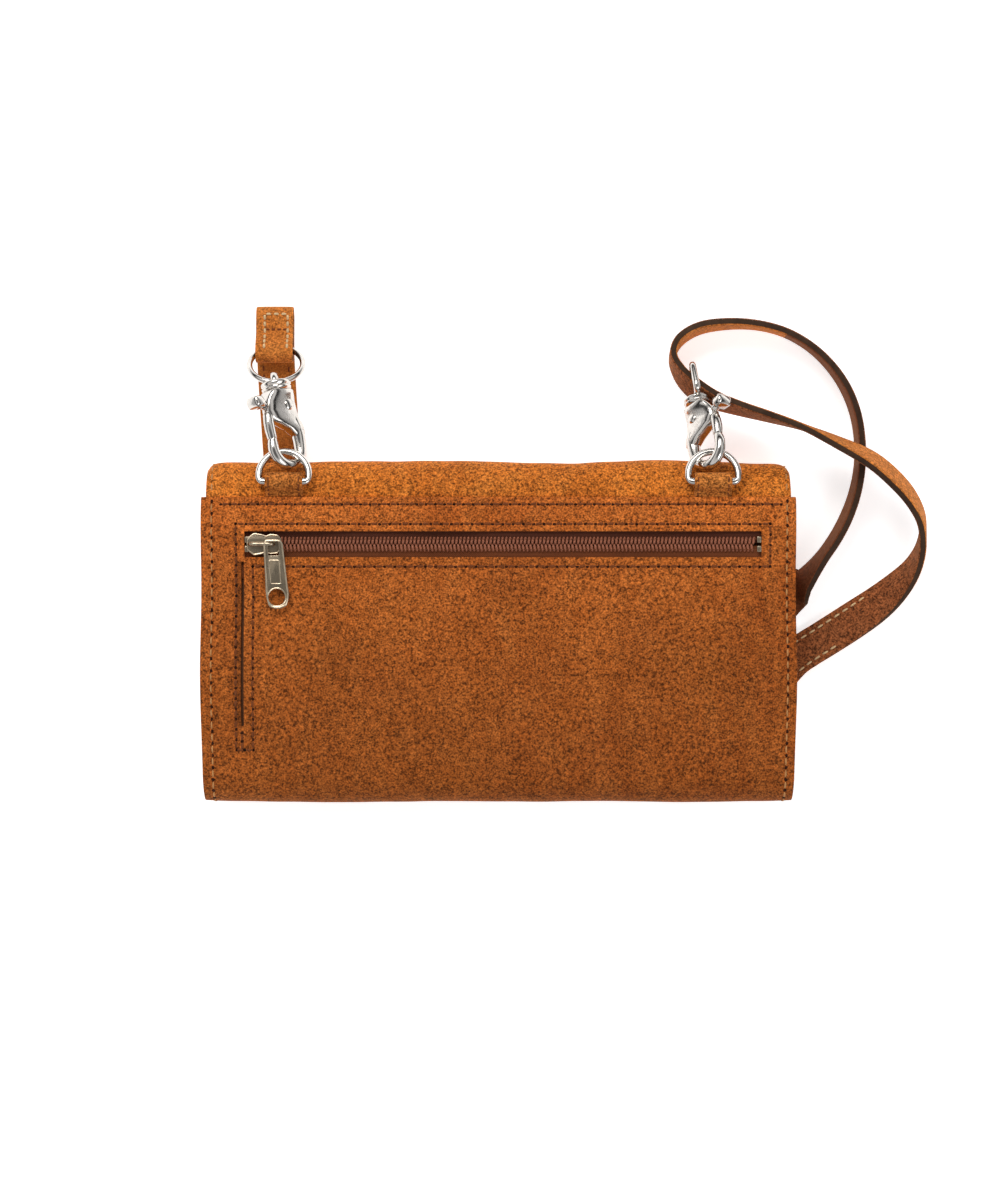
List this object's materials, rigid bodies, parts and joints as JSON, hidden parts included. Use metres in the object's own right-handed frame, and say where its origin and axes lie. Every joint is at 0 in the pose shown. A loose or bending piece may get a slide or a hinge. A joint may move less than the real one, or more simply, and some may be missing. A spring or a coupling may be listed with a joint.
{
  "type": "wristlet wallet",
  "caption": "Suede flap clutch wallet with a back zip pocket, D-ring tabs and a detachable wrist strap on two swivel snap hooks, lying back side up on its own strap.",
  "frame": {"origin": "on the supporting surface, under the middle of the wallet's back", "axes": "+X along the spine to the wallet's right as seen from its back, +Y towards the spine, +Z out of the back, up from the surface"},
  "size_m": [0.2442, 0.1664, 0.0295],
  "materials": {
    "suede": "napped, matt",
    "strap_leather": "napped face, dark painted edges",
    "lining_cloth": "plain weave, matt",
    "inner_leather": "smooth, matt",
    "zip_tape": "woven",
    "zip_coil": "nylon",
    "old_metal": "antique, worn",
    "nickel": "polished"
  },
  "bodies": {
    "wallet": {"back_panel": "suede", "front_panel": "suede", "spine_leather": "suede", "spine_lining": "lining_cloth", "back_lining": "lining_cloth", "front_lining": "lining_cloth", "zip_pocket_lining": "lining_cloth", "slip_pocket_lining": "lining_cloth", "gusset_left": "suede", "gusset_right": "suede", "divider_panel": "inner_leather", "card_pocket_low": "inner_leather", "card_pocket_middle": "inner_leather", "card_pocket_high": "inner_leather", "coin_pocket_wall": "inner_leather", "coin_zip_tape": "zip_tape", "coin_zip_coil": "zip_coil", "coin_zip_stops": "old_metal", "snap_socket": "nickel", "snap_washer": "nickel", "zip_tape_upper": "zip_tape", "zip_tape_lower": "zip_tape", "zip_coil_upper": "zip_coil", "zip_coil_lower": "zip_coil", "zip_stops": "old_metal", "d_tab_left": "suede", "d_tab_right": "suede", "swivel_eye_left": "nickel", "swivel_eye_right": "nickel", "strap_end": "strap_leather", "strap_return": "strap_leather", "strap_under": "strap_leather", "strap_wrist": "strap_leather", "strap_tail": "strap_leather"},
    "flap": {"flap_leather": "suede", "flap_lining": "lining_cloth", "snap_stud": "nickel"},
    "zip_slider_body": {"zip_slider": "old_metal"},
    "zip_puller_body": {"zip_puller": "old_metal"},
    "coin_slider_body": {"coin_zip_slider": "old_metal"},
    "coin_puller_body": {"coin_zip_puller": "old_metal"},
    "d_ring_left_body": {"d_ring_left": "nickel"},
    "d_ring_right_body": {"d_ring_right": "nickel"},
    "hook_left_body": {"hook_left": "nickel", "trigger_rivet_left": "nickel", "trigger_spring_left": "old_metal"},
    "hook_right_body": {"hook_right": "nickel", "trigger_rivet_right": "nickel", "trigger_spring_right": "old_metal"},
    "trigger_left_body": {"trigger_left": "nickel"},
    "trigger_right_body": {"trigger_right": "nickel"},
    "o_ring_body": {"o_ring": "nickel"}
  },
  "joints": [
    {"name": "flap_hinge", "type": "hinge", "parent": "wallet", "child": "flap", "pos_m": [0, 0.04665, 0.0026], "axis": [1, 0, 0], "range_deg": [0, 150], "deforming": ["strap_under", "strap_tail"]},
    {"name": "zip_slide", "type": "slide", "parent": "wallet", "child": "zip_slider_body", "axis": [1, 0, 0], "range_m": [0, 0.157]},
    {"name": "puller_swing", "type": "hinge", "parent": "zip_slider_body", "child": "zip_puller_body", "pos_m": [0, 0.0294, 0.02705], "axis": [-1, 0, 0], "range_deg": [0, 165]},
    {"name": "coin_zip_slide", "type": "slide", "parent": "wallet", "child": "coin_slider_body", "axis": [1, 0, 0], "range_m": [0, 0.158]},
    {"name": "coin_puller_swing", "type": "hinge", "parent": "coin_slider_body", "child": "coin_puller_body", "pos_m": [0, 0.027, 0.0174], "axis": [-1, 0, 0], "range_deg": [0, 13]},
    {"name": "d_ring_left_swing", "type": "hinge", "parent": "wallet", "child": "d_ring_left_body", "pos_m": [-0.0715, 0.0502, 0.0267], "axis": [1, 0, 0], "range_deg": [-1, 4]},
    {"name": "d_ring_right_swing", "type": "hinge", "parent": "wallet", "child": "d_ring_right_body", "pos_m": [0.0715, 0.0502, 0.0267], "axis": [1, 0, 0], "range_deg": [-1, 4]},
    {"name": "hook_left_swivel", "type": "hinge", "parent": "wallet", "child": "hook_left_body", "pos_m": [-0.0706, 0.06152, 0.02302], "axis": [-0.1814, 0.9695, -0.165], "range_deg": [0, 40]},
    {"name": "hook_right_swivel", "type": "hinge", "parent": "wallet", "child": "hook_right_body", "pos_m": [0.0699, 0.06132, 0.02262], "axis": [0.1442, -0.8711, 0.4695], "range_deg": [0, 30]},
    {"name": "trigger_left_press", "type": "hinge", "parent": "hook_left_body", "child": "trigger_left_body", "pos_m": [-0.07136, 0.0725, 0.0199], "axis": [0.6736, 0.2448, 0.6974], "range_deg": [0, 18], "stiffness_Nm_per_rad": 0.004, "springref_deg": -5.73},
    {"name": "trigger_right_press", "type": "hinge", "parent": "hook_right_body", "child": "trigger_right_body", "pos_m": [0.06711, 0.07036, 0.01619], "axis": [0.7518, -0.212, -0.6243], "range_deg": [0, 18], "stiffness_Nm_per_rad": 0.004, "springref_deg": -5.73},
    {"name": "o_ring_spin", "type": "hinge", "parent": "wallet", "child": "o_ring_body", "pos_m": [-0.0749, 0.09015, 0.0127], "axis": [0, 0.7193, 0.6947], "continuous": true}
  ]
}
